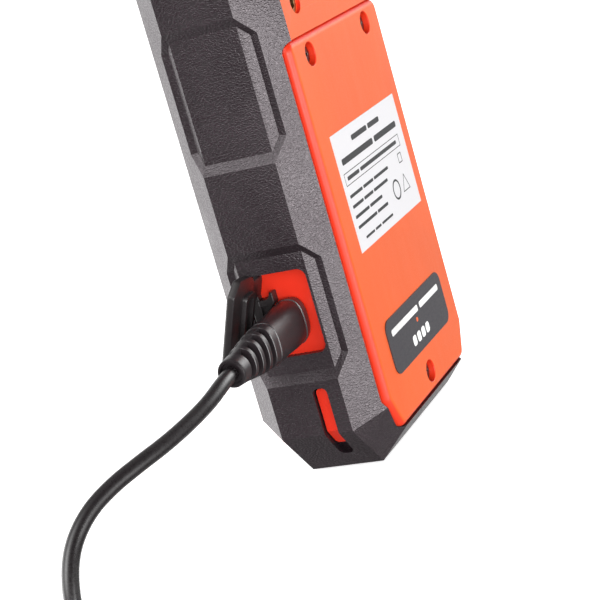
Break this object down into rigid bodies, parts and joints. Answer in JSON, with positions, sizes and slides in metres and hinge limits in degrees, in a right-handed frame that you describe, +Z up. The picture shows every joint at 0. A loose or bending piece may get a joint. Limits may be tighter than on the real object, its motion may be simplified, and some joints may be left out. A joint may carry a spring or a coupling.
{
  "type": "handheld two-way radio",
  "caption": "Rugged handheld two-way radio with a grip bumper, screwed battery cover, top knobs, side keys and a rubber port cover, on its plugged-in charging lead.",
  "frame": {"origin": "middle of the flat base that the radio stands on", "axes": "+Z up towards the antenna, +Y out of the battery side, +X out of the charging-port side"},
  "size_m": [0.1951, 0.049, 0.176],
  "materials": {
    "bumper_rubber": "fine pebble-grained black elastomer",
    "orange_case": "fine satin orange plastic",
    "orange_cover": "satin orange plastic with a soft rim",
    "black_plastic": "semi-gloss black plastic",
    "grille_plastic": "matt black plastic",
    "key_rubber": "silky black rubber",
    "cover_rubber": "smooth black rubber with a slight sheen",
    "seal_rubber": "soft black rubber",
    "screw_steel": "nickel-plated steel",
    "insert_brass": "knurled brass",
    "plug_shell": "bright nickel-plated shell",
    "plug_moulding": "semi-gloss black moulding",
    "cable_jacket": "smooth black jacket",
    "tie_plastic": "matt black strap",
    "label_paper": "white printed film",
    "badge_film": "dark printed film",
    "board": "green solder mask",
    "shield_metal": "tinned sheet",
    "speaker_parts": "black basket and paper cone",
    "mesh_fabric": "fine woven membrane",
    "battery_wrap": "blue shrink wrap",
    "contact_gold": "gold-plated springs",
    "lens": "clear light pipe",
    "antenna_rubber": "matt black moulded rubber",
    "knob_plastic": "matt black plastic",
    "tongue_plastic": "white plastic"
  },
  "bodies": {
    "radio": {"bumper_rear": "bumper_rubber", "bumper_front": "bumper_rubber", "rear_case": "orange_case", "front_case": "orange_case", "case_seal": "seal_rubber", "case_screws": "screw_steel", "battery_cover": "orange_cover", "battery_cover_seal": "seal_rubber", "battery_cover_screws": "screw_steel", "battery_pack": "battery_wrap", "battery_contacts": "contact_gold", "belt_clip_inserts": "insert_brass", "rating_label": "label_paper", "model_badge": "badge_film", "speaker_grille": "grille_plastic", "speaker_mesh": "mesh_fabric", "speaker": "speaker_parts", "microphone": "shield_metal", "status_lens": "lens", "main_board": "board", "radio_shield": "shield_metal", "charge_socket": "shield_metal", "side_switches": "black_plastic", "plunger_seals": "seal_rubber", "antenna": "antenna_rubber", "antenna_collar": "black_plastic", "antenna_rod": "insert_brass", "channel_selector": "shield_metal", "volume_control": "shield_metal", "control_nuts": "screw_steel", "control_seals": "seal_rubber", "port_cover_strap": "cover_rubber"},
    "lead": {"charge_plug_shell": "plug_shell", "charge_plug": "plug_moulding", "strain_relief": "plug_moulding", "cable_lead": "cable_jacket", "cable_coil": "cable_jacket", "cable_tie": "tie_plastic", "cable_tail": "cable_jacket", "usb_plug": "plug_moulding", "usb_plug_shell": "plug_shell", "usb_plug_tongue": "tongue_plastic"},
    "port_cover": {"port_cover": "cover_rubber"},
    "ptt_button": {"ptt_button": "key_rubber"},
    "upper_side_key": {"upper_side_key": "key_rubber"},
    "lower_side_key": {"lower_side_key": "key_rubber"},
    "channel_knob": {"channel_knob": "knob_plastic", "channel_shaft": "screw_steel"},
    "volume_knob": {"volume_knob": "knob_plastic", "volume_shaft": "screw_steel"}
  },
  "joints": [
    {"name": "plug_pull", "type": "slide", "parent": "radio", "child": "lead", "axis": [1, 0, 0], "range_m": [0, 0.012]},
    {"name": "port_cover_swing", "type": "hinge", "parent": "radio", "child": "port_cover", "pos_m": [0.0312, -0.0077, 0.0349], "axis": [0, 0.3746, 0.9272], "range_deg": [-50, 6]},
    {"name": "ptt_press", "type": "slide", "parent": "radio", "child": "ptt_button", "axis": [1, 0, 0], "range_m": [0, 0.001], "stiffness_N_per_m": 1500, "springref_m": -0.0015},
    {"name": "upper_key_press", "type": "slide", "parent": "radio", "child": "upper_side_key", "axis": [1, 0, 0], "range_m": [0, 0.0008], "stiffness_N_per_m": 1500, "springref_m": -0.001},
    {"name": "lower_key_press", "type": "slide", "parent": "radio", "child": "lower_side_key", "axis": [1, 0, 0], "range_m": [0, 0.0008], "stiffness_N_per_m": 1500, "springref_m": -0.001},
    {"name": "channel_turn", "type": "hinge", "parent": "radio", "child": "channel_knob", "pos_m": [-0.001, 0.0006, 0.118], "axis": [0, 0, 1], "range_deg": [-337.5, 0]},
    {"name": "volume_turn", "type": "hinge", "parent": "radio", "child": "volume_knob", "pos_m": [0.0146, 0.0006, 0.118], "axis": [0, 0, 1], "range_deg": [-280, 0]}
  ]
}
